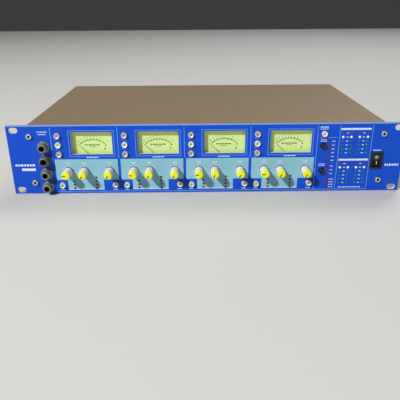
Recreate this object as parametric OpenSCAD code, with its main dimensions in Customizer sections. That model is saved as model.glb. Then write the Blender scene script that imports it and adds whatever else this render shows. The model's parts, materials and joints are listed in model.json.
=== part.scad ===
// Four-channel rack preamplifier, two units high.
// Frame: X to the right, Y to the back, Z up. The origin is on the rear face of the front panel,
// at the centre of its four rack slots.

/* [Front panel] */
// Width of the front panel, the standard for 19-inch racks
panel_w = 482.6; // [482.6]
// Height of the front panel, two rack units less the standard gap
panel_h = 88.1; // [88.1]
// Thickness of the front panel
panel_t = 3; // [2.5:0.5:3.5]
// Width of the bevel along the panel's two long front edges
panel_edge = 1.2; // [0:0.1:1.5]
// Distance between the rack slots, left to right
slot_pitch_x = 465.1; // [465.1]
// Distance between the rack slots, top to bottom
slot_pitch_z = 76.2; // [76.2]
// Length of a rack slot, end to end
slot_length = 10.8; // [9:0.1:12]
// Width of a rack slot
slot_width = 7; // [6.5:0.1:7.5]

/* [Case] */
// Width over the top cover
case_w = 440; // [438:1:444]
// Height of the case
case_h = 87; // [86:0.5:87.5]
// Distance from the panel's rear face to the back of the case
case_back = 268; // [260:1:300]
// Thickness of the folded sheet
sheet = 1.2; // [1:0.1:1.5]
// Outer radius of the cover's two long folds
fold_r = 4.5; // [3:0.5:6]
// Gap between the front panel and the cover's front edge
front_gap = 3; // [2:0.5:4]

/* [Channels] */
// Distance from one channel to the next
channel_pitch = 80.7; // [80:0.1:81]
// Left edge of the first channel
first_channel = -188; // [-189:0.5:-187]

/* [Knobs] */
// Height of the knobs' centres below the panel's centre
knob_drop = 14.4; // [13.5:0.1:15]
// Radius of a knob's body
knob_r = 5.5; // [5.3:0.1:5.8]
// Radius of a knob's yellow cap
cap_r = 4.8; // [4:0.1:5]
// Radius of the skirt at a knob's foot
skirt_r = 6.1; // [6:0.1:7]
// How far a knob stands out of the panel
knob_out = 18; // [15:0.5:20]
// Radius of a potentiometer's shaft
shaft_r = 2; // [2]

/* [Buttons] */
// Radius of a round button
button_r = 3.5; // [3:0.1:3.8]
// How far a button stands out of the panel
button_out = 3; // [2.5:0.5:4]
// Clear gap around a button
button_gap = 0.4; // [0.3:0.05:0.5]

/* [Meters] */
// Width of a meter's cut-out
window_w = 50; // [46:1:51]
// Height of a meter's cut-out
window_h = 28; // [26:1:29]
// Height of the cut-outs' centres above the panel's centre
window_rise = 21.6; // [21:0.2:22]
// Length of a needle beyond its pivot
needle_length = 27; // [24:1:31]
// Full swing of a needle, in degrees
needle_swing = 90; // [80:5:90]

/* [Sockets] */
// Bore radius of a quarter-inch socket
jack_bore = 3.2; // [3.2]
// How far an instrument jack stands out of the panel
jack_out = 9.6; // [8:0.2:11]

/* [Hidden] */
$fn = 48;
channels = [0:3];
case_bottom = -case_h / 2;
case_top = case_h / 2;
tray_half = case_w / 2 - sheet - 0.2;
inner_half = tray_half - sheet;
floor_top = case_bottom + sheet;

// A channel's places, from its own left edge and the panel's centre line
knob_spots = [16.8, 36.5, 67.7];
knob_names = ["gain_knob", "trim_knob", "filter_knob"];
// A knob's mark at rest, in degrees clockwise from the top
knob_marks = [-90, -150, -150];
button_spots = [[7.5, 31.3], [7.5, 19.6], [7.5, 8], [7.5, -32.5], [73.8, -32]];
button_names = ["phantom_button", "phase_button", "filter_button", "input_button", "insert_button"];
led_spots = concat([for (i = [0:2]) [22.4, -27.5 - 4.5 * i]], [for (i = [0:3]) [50.2, -22.5 - 4.8 * i]]);
window_x = 48.2;

// Places in the right-hand section
level_button_spots = [[142.3, 30.9], [142.3, 15.8], [142.9, -16.3]];
level_button_names = ["reset_button", "clock_button", "source_button"];
status_x = 150.2;
status_rows = concat([for (i = [0:5]) 21.5 - 4.88 * i], [for (i = [0:2]) -10.3 - 5 * i],
                     [for (i = [0:3]) -27.7 - 3.45 * i]);
bar_xs = [for (i = [0:3]) 165.5 + 10.03 * i];
bar_rows = concat([for (i = [0:5]) 31.5 - 4.98 * i], [for (i = [0:5]) -7.3 - 5.02 * i]);
level_led_spots = concat([for (z = status_rows) [status_x, z]], [for (x = bar_xs, z = bar_rows) [x, z]]);

jack_spots = [for (i = [0:3]) [-198.5, 17.4 - 17.25 * i]];
rocker_spot = [209, -3];
panel_screw_spots = [for (x = [-214.2, 214.2], z = [-28.4, 30.8]) [x, z]];

// Mains rocker
rocker_pivot = -1;
rocker_tilt = 12;
rocker_arc = 8.4;
bezel = [15, 2, 21];

// Indicators, and the round bodies behind the panel
led_r = 1.5;
led_hole = 1.6;
bushing_r = 3;
nose_r = 4.7;
jack_body = 15;
control_board_y = 9;
board_t = 1.6;

// Meter housing, measured from its cut-out's centre line
housing_half = 27.5;
housing_low = -7.6;
housing_high = 39;
housing_depth = 24;
housing_wall = 1.5;
dial_y = 3.7;
pivot_z = 0.8;

// Back of the case
rear_t = 1.5;
rear_y = case_back - rear_t;
group_pitch = 76;
first_group = -190;
xlr_z = 14;
xlr_pair = 30;
line_z = -24;
xlr_flange = [26, 2, 31];
inlet_spot = [184, 6];
inlet_hole = [27.4, 20];
blank_spot = [122, 6];
main_board_z = -36;
standoff_spots = [for (x = [-200, -60, 80], y = [50, 222]) [x, y]];
cover_screw_ys = [40, 135, 230];
cover_screw_z = -28;
rear_screw_spots = [for (x = [-212, 212], z = [-30, 30]) [x, z]];
hair = 0.02;

function channel_x(k) = first_channel + k * channel_pitch;
function group_x(k) = first_group + k * group_pitch;
function spot_in(k, spot) = [channel_x(k) + spot[0], spot[1]];

channel_button_spots = [for (k = channels, s = button_spots) spot_in(k, s)];
channel_led_spots = [for (k = channels, s = led_spots) spot_in(k, s)];
pot_spots = [for (k = channels, x = knob_spots) [channel_x(k) + x, -knob_drop]];
button_all_spots = concat(channel_button_spots, level_button_spots);
led_all_spots = concat(channel_led_spots, level_led_spots);
xlr_in_spots = [for (k = channels) [group_x(k), xlr_z]];
xlr_out_spots = [for (k = channels) [group_x(k) + xlr_pair, xlr_z]];
xlr_spots = concat(xlr_in_spots, xlr_out_spots);
line_spots = [for (k = channels, x = [0, xlr_pair]) [group_x(k) + x, line_z]];
flange_screw_spots = concat(
    [for (s = xlr_spots, d = [-1, 1]) s + d * [9.5, 12]],
    [for (d = [-1, 1]) inlet_spot + [d * 20, 0]],
    [for (d = [-1, 1]) blank_spot + [0, d * 22]]
);

fixed_names = [
    "front_panel", "panel_screws", "chassis_tray", "top_cover", "rear_panel", "case_screws",
    "meter_housings", "meter_dials", "meter_windows", "instrument_jacks", "potentiometers",
    "button_switches", "indicator_leds", "circuit_boards", "input_transformers",
    "mains_transformer", "mains_inlet", "xlr_sockets", "line_jacks", "power_switch_body"
];
channel_names = concat(knob_names, button_names, ["meter_needle"]);
NODES = concat(
    fixed_names,
    [for (k = channels, name = channel_names) channel_node(k, name)],
    level_button_names,
    ["power_rocker"]
);
node = "all";

function channel_node(k, name) = str("ch", k + 1, "_", name);
function wanted(name) = node == "all" || node == name;

// A round bar along Y, from y0 to y1
module bar(r, y0, y1, fn = 48) {
    translate([0, y0, 0])
        rotate([-90, 0, 0])
            cylinder(h = y1 - y0, r = r, $fn = fn);
}

// A block centred on X and Z, from y0 to y1
module block(w, h, y0, y1) {
    translate([-w / 2, y0, -h / 2])
        cube([w, y1 - y0, h]);
}

// A profile of [radius, y] points, turned about the Y axis
module turned(points) {
    rotate([-90, 0, 0])
        rotate_extrude()
            polygon(points);
}

// Its children, once at each [x, z] spot
module at_each(spots) {
    for (s = spots)
        translate([s[0], 0, s[1]])
            children();
}

// A hexagonal socket along Y
module hex_socket(r, y0, y1) {
    bar(r, y0, y1, fn = 6);
}

// ---- Front panel ----

module rack_slot() {
    reach = (slot_length - slot_width) / 2;
    for (d = [-reach, reach])
        translate([d, 0, 0])
            bar(slot_width / 2, -panel_t - 1, 1);
    block(2 * reach, slot_width, -panel_t - 1, 1);
}

// The plate, with a bevel along its top and bottom front edges
module panel_plate() {
    high = panel_h / 2;
    near = -panel_t + panel_edge;
    translate([-panel_w / 2, 0, 0])
        rotate([90, 0, 90])
            linear_extrude(height = panel_w)
                polygon([
                    [0, -high], [0, high], [near, high], [-panel_t, high - panel_edge],
                    [-panel_t, panel_edge - high], [near, -high]
                ]);
}

module front_panel() {
    color([0.1, 0.32, 0.8])
        difference() {
            panel_plate();
            at_each([for (x = [-1, 1], z = [-1, 1]) [x * slot_pitch_x / 2, z * slot_pitch_z / 2]])
                rack_slot();
            at_each(panel_screw_spots)
                bar(2.2, -panel_t - 1, 1);
            at_each(pot_spots)
                bar(bushing_r + 0.1, -panel_t - 1, 1);
            at_each(button_all_spots)
                bar(button_r + button_gap, -panel_t - 1, 1);
            at_each(led_all_spots)
                bar(led_hole, -panel_t - 1, 1);
            at_each(jack_spots)
                bar(nose_r + 0.1, -panel_t - 1, 1);
            for (k = channels)
                translate([channel_x(k) + window_x, 0, window_rise])
                    block(window_w, window_h, -panel_t - 1, 1);
            translate([rocker_spot[0], 0, rocker_spot[1]])
                block(bezel[0] - 2, bezel[2] - 1.6, -panel_t - 1, 1);
        }
}

module panel_screws() {
    head = 2.6;
    color([0.75, 0.75, 0.75])
        at_each(panel_screw_spots)
            difference() {
                union() {
                    bar(3.5, -panel_t - head, -panel_t);
                    bar(2, -panel_t - hair, 7);
                }
                hex_socket(1.73, -panel_t - head - 1, -panel_t - 0.8);
            }
}

// ---- Case ----

module wall_tabs(y0) {
    for (x = [-1, 1], z = [-1, 1])
        translate([x * (inner_half - 5), 0, z * 30])
            block(10, 16, y0, y0 + sheet);
}

module chassis_tray() {
    nut_r = 3;
    wall_low = case_bottom + 0.5;
    wall_top = case_top - fold_r - 0.3;
    color([0.55, 0.56, 0.57])
        difference() {
            union() {
                translate([-tray_half, front_gap, case_bottom])
                    cube([2 * tray_half, case_back - front_gap, sheet]);
                for (x = [-1, 1])
                    translate([x * (tray_half - sheet / 2), 0, (wall_low + wall_top) / 2])
                        block(sheet, wall_top - wall_low, 0, rear_y);
                wall_tabs(0);
                wall_tabs(rear_y - sheet);
                at_each(panel_screw_spots)
                    bar(nut_r, sheet - hair, 5);
                for (s = standoff_spots)
                    translate([s[0], s[1], floor_top - hair])
                        cylinder(h = main_board_z - floor_top + hair, r = 3);
            }
            at_each(panel_screw_spots)
                bar(2.05, -1, 12);
            at_each(rear_screw_spots)
                bar(1.5, rear_y - 5, rear_y + 1);
            for (y = cover_screw_ys)
                translate([0, y, cover_screw_z])
                    rotate([0, 90, 0])
                        cylinder(h = 2 * case_w, r = 1.5, center = true);
        }
}

module cover_outline(half, top, r, low) {
    translate([-half, low])
        square([2 * half, top - r - low]);
    translate([-half + r, low])
        square([2 * (half - r), top - low]);
    for (x = [-1, 1])
        translate([x * (half - r), top - r])
            circle(r = r);
}

module top_cover() {
    low = case_bottom + 2;
    color([0.46, 0.41, 0.34])
        difference() {
            translate([0, case_back, 0])
                rotate([90, 0, 0])
                    linear_extrude(height = case_back - front_gap)
                        difference() {
                            cover_outline(case_w / 2, case_top, fold_r, low);
                            cover_outline(case_w / 2 - sheet, case_top - sheet, fold_r - sheet, low - 1);
                        }
            for (y = cover_screw_ys)
                translate([0, y, cover_screw_z])
                    rotate([0, 90, 0])
                        cylinder(h = 2 * case_w, r = 1.5, center = true);
        }
}

module rear_panel() {
    half = tray_half - 0.2;
    high = case_top - sheet - 0.1;
    relief = fold_r - sheet + 0.2;
    color([0.16, 0.16, 0.17])
        difference() {
            block(2 * half, 2 * high, rear_y, case_back);
            at_each([for (x = [-1, 1]) [x * half, high]])
                block(2 * relief, 2 * relief, rear_y - 1, case_back + 1);
            at_each(xlr_spots)
                bar(11.8, rear_y - 1, case_back + 1);
            at_each(line_spots)
                bar(nose_r + 0.1, rear_y - 1, case_back + 1);
            at_each(concat(rear_screw_spots, flange_screw_spots))
                bar(1.5, rear_y - 1, case_back + 1);
            translate([inlet_spot[0], 0, inlet_spot[1]])
                block(inlet_hole[0], inlet_hole[1], rear_y - 1, case_back + 1);
        }
}

// A pan-head screw that enters along -Y, its head seated at y
module pan_screw(y, shank) {
    difference() {
        union() {
            bar(2.7, y, y + 1.7);
            bar(1.48, y - shank, y + hair);
        }
        for (w = [[0.8, 3.2], [3.2, 0.8]])
            block(w[0], w[1], y + 0.8, y + 3);
    }
}

module case_screws() {
    color([0.2, 0.2, 0.21]) {
        at_each(rear_screw_spots)
            pan_screw(case_back, 5);
        at_each(flange_screw_spots)
            pan_screw(case_back + xlr_flange[1], 5);
        for (x = [-1, 1], y = cover_screw_ys)
            translate([x * case_w / 2, y, cover_screw_z])
                rotate([0, 0, -90 * x])
                    pan_screw(0, 5);
    }
}

// ---- Knobs ----

module knob_body() {
    foot = -panel_t - 0.7;
    top = -panel_t - knob_out + 2.2;
    shaft_end = top + 1.5;
    difference() {
        turned([
            [0, foot], [skirt_r, foot], [skirt_r, foot - 1], [knob_r, foot - 2.2],
            [cap_r + 0.35, top], [0, top]
        ]);
        bar(4.9, foot - 3, foot + 1);
        bar(shaft_r, shaft_end, foot + 1);
    }
}

module knob_cap(mark) {
    top = -panel_t - knob_out + 2.2;
    face = -panel_t - knob_out;
    foot = top - hair;
    difference() {
        turned([[0, foot], [cap_r, foot], [cap_r, face + 0.6], [cap_r - 0.6, face], [0, face]]);
        rotate([0, mark, 0])
            translate([0, 0, cap_r / 2])
                block(0.9, cap_r + 1, face - 1, face + 0.5);
    }
}

module knob(k, i) {
    shaft_end = -panel_t - knob_out + 3.7;
    translate([channel_x(k) + knob_spots[i], 0, -knob_drop]) {
        color([0.86, 0.86, 0.82])
            knob_body();
        color([0.95, 0.9, 0.1])
            knob_cap(knob_marks[i]);
        color([0.75, 0.75, 0.75])
            bar(shaft_r - hair, shaft_end + hair, 6);
    }
}

module potentiometers() {
    nut_y = -panel_t - 1.5;
    color([0.3, 0.32, 0.35])
        at_each(pot_spots)
            difference() {
                union() {
                    block(12, 12, 0.2, control_board_y - 0.2);
                    bar(bushing_r, nut_y - 1, 0.3);
                    bar(4.3, nut_y, -panel_t, fn = 6);
                }
                bar(shaft_r + 0.05, nut_y - 2, 7);
            }
}

// ---- Buttons ----

module button(spot) {
    color([0.8, 0.8, 0.74])
        translate([spot[0], 0, spot[1]])
            turned([
                [0, 6], [2, 6], [2, 1], [button_r, 1],
                [button_r, -panel_t - button_out + 0.5], [button_r - 0.5, -panel_t - button_out],
                [0, -panel_t - button_out]
            ]);
}

module button_switches() {
    color([0.12, 0.12, 0.13])
        at_each(button_all_spots)
            difference() {
                block(8, 8, 3.2, control_board_y - 0.2);
                bar(2.4, 3, 8);
            }
}

// ---- Indicators ----

module indicator_leds() {
    color([0.25, 0.1, 0.12])
        at_each(led_all_spots)
            turned([
                [0, control_board_y - 0.2], [led_r, control_board_y - 0.2],
                [led_r, -panel_t - 0.2], [led_r - 0.5, -panel_t - 0.6], [0, -panel_t - 0.7]
            ]);
}

// ---- Meters ----

module at_meters() {
    for (k = channels)
        translate([channel_x(k) + window_x, 0, 0])
            children();
}

module meter_box(inset, y0, y1) {
    translate([-housing_half + inset, y0, housing_low + inset])
        cube([2 * (housing_half - inset), y1 - y0, housing_high - housing_low - 2 * inset]);
}

// Box open to the front, and the magnet ring that the coil swings in
module meter_housings() {
    color([0.09, 0.09, 0.1])
        at_meters() {
            difference() {
                meter_box(0, 0.1, housing_depth);
                meter_box(housing_wall, -1, housing_depth - housing_wall);
            }
            translate([0, 0, pivot_z])
                difference() {
                    bar(6.8, 9, housing_depth - housing_wall);
                    bar(5.2, 8, housing_depth - 4);
                }
        }
}

module meter_dials() {
    dial_low = 4.6;
    reach = housing_half - housing_wall - 0.1;
    high = housing_high - housing_wall - 0.1;
    color([0.78, 0.92, 0.58])
        at_meters()
            translate([-reach, dial_y, dial_low])
                cube([2 * reach, 0.6, high - dial_low]);
}

module meter_windows() {
    reach = housing_half - housing_wall - 0.1;
    color([0.9, 0.95, 0.95, 0.3])
        at_meters()
            translate([-reach, 0.15, housing_low + housing_wall + 0.1])
                cube([2 * reach, 1.2, housing_high - housing_low - 2 * housing_wall - 0.2]);
}

// Pointer, counterweight, arbor and coil, leaning to the left end of the scale
module meter_needle(k) {
    front = 2.4;
    color([0.05, 0.05, 0.05])
        translate([channel_x(k) + window_x, 0, pivot_z])
            rotate([0, -needle_swing / 2, 0]) {
                translate([-0.35, front, -5])
                    cube([0.7, 0.3, needle_length + 5]);
                bar(1.6, front, 8.4);
                bar(0.6, 8, 16);
                translate([-3.2, 9.5, -3.2])
                    cube([6.4, 8, 6.4]);
            }
}

// ---- Front sockets and mains switch ----

// The socket's body behind the panel and its nose through it
module jack_socket(nose_end) {
    difference() {
        union() {
            bar(nose_r, nose_end, 0.3);
            block(jack_body, jack_body, 0.1, 27);
        }
        bar(jack_bore, nose_end - 1, 25);
    }
}

// The bright nut that covers the nose, with a bevelled face
module bezel_nut(lip, face) {
    nut_r = 5.7;
    washer_r = 7.3;
    washer_t = 1.4;
    inner = nose_r + hair;
    turned([
        [inner, -panel_t], [washer_r, -panel_t], [washer_r, -panel_t - washer_t + 0.4],
        [washer_r - 0.4, -panel_t - washer_t], [nut_r, -panel_t - washer_t],
        [nut_r, face + 1.5], [nut_r - 1.2, face], [jack_bore + 0.3, face], [jack_bore + 0.3, lip], [inner, lip]
    ]);
}

module instrument_jacks() {
    face = -panel_t - jack_out;
    lip = face + 1.2;
    at_each(jack_spots) {
        color([0.1, 0.1, 0.1])
            jack_socket(lip + hair);
        color([0.7, 0.7, 0.68])
            bezel_nut(lip, face);
    }
}

module power_switch_body() {
    body = [12.6, 19];
    color([0.06, 0.06, 0.07])
        translate([rocker_spot[0], 0, rocker_spot[1]])
            difference() {
                union() {
                    block(bezel[0], bezel[2], -panel_t - bezel[1], -panel_t);
                    block(body[0], body[1], -panel_t - 0.1, 20);
                }
                block(10.8, 17.6, -panel_t - bezel[1] - 1, 9);
            }
}

// The side view of the rocker: two flats that meet in a shallow V, with round ends about its pivot
module power_rocker() {
    rise = 3.6;
    lean = tan(rocker_tilt) * 10;
    color([0.1, 0.11, 0.12])
        translate([rocker_spot[0], rocker_pivot, rocker_spot[1]])
            rotate([-rocker_tilt, 0, 0])
                rotate([90, 0, 90])
                    translate([0, 0, -5])
                        linear_extrude(height = 10)
                            intersection() {
                                circle(r = rocker_arc);
                                polygon([[-rise, 0], [-rise - lean, 10], [4, 10], [4, -10], [-rise - lean, -10]]);
                            }
}

// ---- Back of the case ----

module xlr_shell(spot, deep) {
    translate([spot[0], 0, spot[1]])
        difference() {
            union() {
                block(xlr_flange[0], xlr_flange[2], case_back, case_back + xlr_flange[1]);
                bar(11.7, case_back - deep, case_back + hair);
            }
            for (d = [-1, 1])
                translate([d * 9.5, 0, d * 12])
                    bar(1.5, case_back - 1, case_back + 3);
            bar(9.4, case_back - deep + 5, case_back + 3);
        }
}

// Inputs hold an insert with three holes; outputs hold three bare pins
module xlr_sockets() {
    contact_turns = [0, 90, 180];
    deep = 21;
    color([0.14, 0.14, 0.15]) {
        for (s = xlr_spots)
            xlr_shell(s, deep);
        at_each(xlr_in_spots)
            difference() {
                bar(7.8, case_back - deep + 5 - hair, case_back + 1.5);
                for (a = contact_turns)
                    rotate([0, a, 0])
                        translate([4.6, 0, 0])
                            bar(1.4, case_back - 10, case_back + 3);
            }
        at_each(xlr_out_spots)
            for (a = contact_turns)
                rotate([0, a, 0])
                    translate([4.6, 0, 0])
                        bar(1.15, case_back - deep + 5 - hair, case_back);
    }
}

module line_jacks() {
    nut_t = 2.4;
    color([0.12, 0.12, 0.13])
        at_each(line_spots)
            difference() {
                union() {
                    block(jack_body, jack_body, rear_y - 26, rear_y - 0.1);
                    bar(nose_r, rear_y - 1, case_back + 4);
                    bar(7.6, case_back, case_back + nut_t, fn = 6);
                }
                bar(jack_bore, rear_y - 24, case_back + 5);
            }
}

// Mains inlet with its three flat pins, and the blanking plate beside it
module mains_inlet() {
    pin_spots = [[-7, -2], [0, 2], [7, -2]];
    color([0.07, 0.07, 0.08]) {
        translate([inlet_spot[0], 0, inlet_spot[1]]) {
            difference() {
                union() {
                    block(50, 24, case_back, case_back + 2);
                    block(inlet_hole[0] - 0.2, inlet_hole[1] - 0.2, case_back - 18, case_back + hair);
                }
                block(24, 16.6, case_back - 16, case_back + 3);
                for (d = [-1, 1])
                    translate([d * 20, 0, 0])
                        bar(1.5, case_back - 1, case_back + 3);
            }
            at_each(pin_spots)
                block(4, 2, case_back - 16 - hair, case_back - 2);
        }
        translate([blank_spot[0], 0, blank_spot[1]])
            difference() {
                block(40, 54, case_back, case_back + 2);
                for (d = [-1, 1])
                    translate([0, 0, d * 22])
                        bar(1.5, case_back - 1, case_back + 3);
            }
    }
}

// ---- Inside ----

// Control board behind the panel, main board on its posts, and the main board's capacitors
module circuit_boards() {
    color([0.1, 0.35, 0.2]) {
        difference() {
            translate([-189, control_board_y, -41])
                cube([388, board_t, 81]);
            at_meters()
                translate([-housing_half - 0.4, 0, housing_low - 0.4])
                    cube([2 * housing_half + 0.8, 30, housing_high - housing_low + 5]);
        }
        translate([-208, 36, main_board_z])
            cube([300, 200, board_t]);
        for (k = channels, x = [0, 16, 32])
            translate([-192 + 74 * k + x, 80, main_board_z + board_t + hair])
                cylinder(h = 20, r = 5);
    }
}

module input_transformers() {
    color([0.6, 0.6, 0.62])
        for (k = channels)
            translate([-176 + 74 * k, 165, main_board_z + board_t + hair])
                cylinder(h = 26, r = 13);
}

// Ring core with its windings, the clamp disc and the bolt
module mains_transformer() {
    core_h = 40;
    color([0.72, 0.45, 0.16])
        translate([152, 150, floor_top + hair]) {
            difference() {
                cylinder(h = core_h, r = 45);
                translate([0, 0, -1])
                    cylinder(h = core_h + 2, r = 12);
            }
            translate([0, 0, core_h + hair])
                difference() {
                    cylinder(h = 2, r = 24);
                    translate([0, 0, -1])
                        cylinder(h = 4, r = 3 + hair);
                }
            cylinder(h = core_h + 8, r = 3);
        }
}

if (wanted("front_panel")) front_panel();
if (wanted("panel_screws")) panel_screws();
if (wanted("chassis_tray")) chassis_tray();
if (wanted("top_cover")) top_cover();
if (wanted("rear_panel")) rear_panel();
if (wanted("case_screws")) case_screws();
if (wanted("meter_housings")) meter_housings();
if (wanted("meter_dials")) meter_dials();
if (wanted("meter_windows")) meter_windows();
if (wanted("instrument_jacks")) instrument_jacks();
if (wanted("potentiometers")) potentiometers();
if (wanted("button_switches")) button_switches();
if (wanted("indicator_leds")) indicator_leds();
if (wanted("circuit_boards")) circuit_boards();
if (wanted("input_transformers")) input_transformers();
if (wanted("mains_transformer")) mains_transformer();
if (wanted("mains_inlet")) mains_inlet();
if (wanted("xlr_sockets")) xlr_sockets();
if (wanted("line_jacks")) line_jacks();
if (wanted("power_switch_body")) power_switch_body();
if (wanted("power_rocker")) power_rocker();

for (k = channels, i = [0:2])
    if (wanted(channel_node(k, knob_names[i]))) knob(k, i);
for (k = channels, i = [0:4])
    if (wanted(channel_node(k, button_names[i]))) button(spot_in(k, button_spots[i]));
for (k = channels)
    if (wanted(channel_node(k, "meter_needle"))) meter_needle(k);
for (i = [0:2])
    if (wanted(level_button_names[i])) button(level_button_spots[i]);
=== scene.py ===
import json
import math

import bpy
import numpy as np
from mathutils import Matrix, Vector


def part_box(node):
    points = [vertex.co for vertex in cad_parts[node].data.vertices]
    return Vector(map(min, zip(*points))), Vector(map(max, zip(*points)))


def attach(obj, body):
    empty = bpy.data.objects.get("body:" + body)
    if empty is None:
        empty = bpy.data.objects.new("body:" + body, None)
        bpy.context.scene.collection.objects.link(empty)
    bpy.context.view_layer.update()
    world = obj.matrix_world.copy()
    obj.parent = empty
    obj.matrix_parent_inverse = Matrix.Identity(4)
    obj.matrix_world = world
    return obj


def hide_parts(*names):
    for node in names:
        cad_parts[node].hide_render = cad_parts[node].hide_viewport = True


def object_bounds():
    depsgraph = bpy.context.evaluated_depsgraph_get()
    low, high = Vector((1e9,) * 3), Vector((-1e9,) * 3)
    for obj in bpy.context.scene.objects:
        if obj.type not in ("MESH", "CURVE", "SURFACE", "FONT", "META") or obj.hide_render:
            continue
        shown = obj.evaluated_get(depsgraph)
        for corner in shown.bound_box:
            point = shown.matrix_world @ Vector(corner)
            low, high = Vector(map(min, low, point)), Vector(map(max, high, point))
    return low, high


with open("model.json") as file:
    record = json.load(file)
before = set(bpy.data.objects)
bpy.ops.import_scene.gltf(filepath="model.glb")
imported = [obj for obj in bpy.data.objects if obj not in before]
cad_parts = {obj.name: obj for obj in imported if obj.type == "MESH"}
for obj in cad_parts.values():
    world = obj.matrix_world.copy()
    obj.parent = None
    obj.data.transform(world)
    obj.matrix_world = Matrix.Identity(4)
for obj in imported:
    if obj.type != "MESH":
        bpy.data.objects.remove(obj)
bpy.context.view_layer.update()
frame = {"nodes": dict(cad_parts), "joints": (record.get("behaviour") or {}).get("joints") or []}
nodes = frame["nodes"]
mm = 0.001
print("frame loaded:", len(nodes), "nodes")


# Places read from the frame, in millimetres

def solidBoxes(node):
    # low and high corners of each separate solid in a node: corners at one place get one number,
    # and the lowest number spreads along the triangles until each solid has a single one
    mesh = nodes[node].data
    co = np.zeros(len(mesh.vertices) * 3)
    mesh.vertices.foreach_get("co", co)
    keys = np.round(co.reshape(-1, 3) / mm * 100).astype(np.int64)
    keys, place = np.unique(keys, axis=0, return_inverse=True)
    mesh.calc_loop_triangles()
    tri = np.zeros(len(mesh.loop_triangles) * 3, np.int32)
    mesh.loop_triangles.foreach_get("vertices", tri)
    tri = place.reshape(-1)[tri.reshape(-1, 3)]
    label = np.arange(len(keys))
    while True:
        low = label[tri].min(axis=1)
        spread = label.copy()
        for side in range(3):
            np.minimum.at(spread, tri[:, side], low)
        spread = spread[spread]
        if (spread == label).all():
            break
        label = spread
    return [(keys[label == n].min(0) / 100, keys[label == n].max(0) / 100) for n in np.unique(label)]


def centresIn(node):
    # x and z of each solid's centre
    return [tuple(((low + high) / 2)[[0, 2]]) for low, high in solidBoxes(node)]


def corner(node, side):
    return np.array(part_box(node)[side]) / mm


def centreOf(node):
    middle = (corner(node, 0) + corner(node, 1)) / 2
    return middle[0], middle[2]


panelFace = corner("front_panel", 0)[1]
channels = range(4)
knobKinds = ["gain_knob", "trim_knob", "filter_knob"]
buttonKinds = ["phantom_button", "phase_button", "filter_button", "input_button", "insert_button"]
buttonNodes = [f"ch{k + 1}_{kind}" for k in channels for kind in buttonKinds]
buttonNodes += ["reset_button", "clock_button", "source_button"]
edges = [centreOf(f"ch{k + 1}_phantom_button")[0] - 7.5 for k in channels]
pitch = edges[1] - edges[0]
dialFace = corner("meter_dials", 0)[1]
pivots = {joint["child"]: [v / mm for v in joint["pos_m"]] for joint in frame["joints"] if "pos_m" in joint}


# Materials

class Link:
    # a shader socket that becomes Math nodes when it is used in a sum
    def __init__(self, finish, socket):
        self.finish, self.socket = finish, socket

    def math(self, operation, *values):
        return self.finish.node("ShaderNodeMath", {"operation": operation}, dict(enumerate(values)))

    def __add__(self, other):
        return self.math("ADD", self, other)

    def __sub__(self, other):
        return self.math("SUBTRACT", self, other)

    def __rsub__(self, other):
        return self.math("SUBTRACT", other, self)

    def __mul__(self, other):
        return self.math("MULTIPLY", self, other)

    def __gt__(self, other):
        return self.math("GREATER_THAN", self, other)

    def __lt__(self, other):
        return self.math("LESS_THAN", self, other)

    def size(self):
        return self.math("ABSOLUTE", self)

    def clamped(self, low=0.0, high=1.0):
        return self.finish.node("ShaderNodeClamp", {}, {0: self, 1: low, 2: high})

    __radd__ = __add__
    __rmul__ = __mul__


class Finish:
    # a material with one Principled shader, whose constants are set on its own sockets
    def __init__(self, name, **constants):
        self.material = bpy.data.materials.new(name)
        self.material.use_nodes = True
        self.tree = self.material.node_tree
        self.shader = self.tree.nodes["Principled BSDF"]
        for key, value in constants.items():
            self.fill(self.shader.inputs[socketName(key)], value)
        self.place = self.node("ShaderNodeTexCoord", output="Object")
        parts = self.node("ShaderNodeSeparateXYZ", values={0: self.place}, output=None)
        self.x, self.y, self.z = (Link(self, parts.outputs[i]) * 1000 for i in range(3))

    def fill(self, socket, value):
        if isinstance(value, Link):
            self.tree.links.new(value.socket, socket)
        elif socket.type == "RGBA":
            socket.default_value = (*value[:3], 1)
        else:
            socket.default_value = value

    def node(self, kind, settings=None, values=None, output=0):
        # settings first, then the sockets' values or links; a ramp's stops are (place, colour)
        made = self.tree.nodes.new(kind)
        for key, value in (settings or {}).items():
            if key != "stops":
                setattr(made, key, value)
                continue
            for _ in value[2:]:
                made.color_ramp.elements.new(1)
            for element, (place, colour) in zip(made.color_ramp.elements, value):
                element.position, element.color = place, (*colour, 1)
        for key, value in (values or {}).items():
            self.fill(made.inputs[key], value)
        return made if output is None else Link(self, made.outputs[output])

    def noise(self, grain, detail=2, stretch=(1, 1, 1)):
        # lumps about grain millimetres across, drawn out along an axis by stretch
        where = self.node("ShaderNodeMapping", values={0: self.place, 3: tuple(1 / s for s in stretch)})
        sockets = {"Vector": where, "Scale": 1 / (grain * mm), "Detail": detail}
        return self.node("ShaderNodeTexNoise", values=sockets)

    def mix(self, factor, first, second):
        return self.node("ShaderNodeMix", {"data_type": "RGBA"}, {0: factor, 6: first, 7: second}, 2)

    def shades(self, factor, *stops):
        return self.node("ShaderNodeValToRGB", {"stops": stops}, {0: factor})

    def set(self, **links):
        for key, value in links.items():
            self.fill(self.shader.inputs[socketName(key)], value)
        return self

    def bump(self, height, depth):
        # depth is the real height, in millimetres, of a step from 0 to 1
        return self.set(normal=self.node("ShaderNodeBump", values={"Height": height, "Distance": depth * mm}))


def socketName(key):
    # baseColor becomes Base Color
    special = {"ior": "IOR", "specular": "Specular IOR Level"}
    spaced = "".join(" " + letter if letter.isupper() else letter for letter in key)
    return special.get(key, spaced[0].upper() + spaced[1:])


def screen(red, green, blue):
    # a screen colour, 0 to 255, as the linear colour that shaders take
    values = np.array([red, green, blue]) / 255
    linear = np.where(values < 0.04045, values / 12.92, ((values + 0.055) / 1.055) ** 2.4)
    return tuple(linear.tolist())


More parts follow.
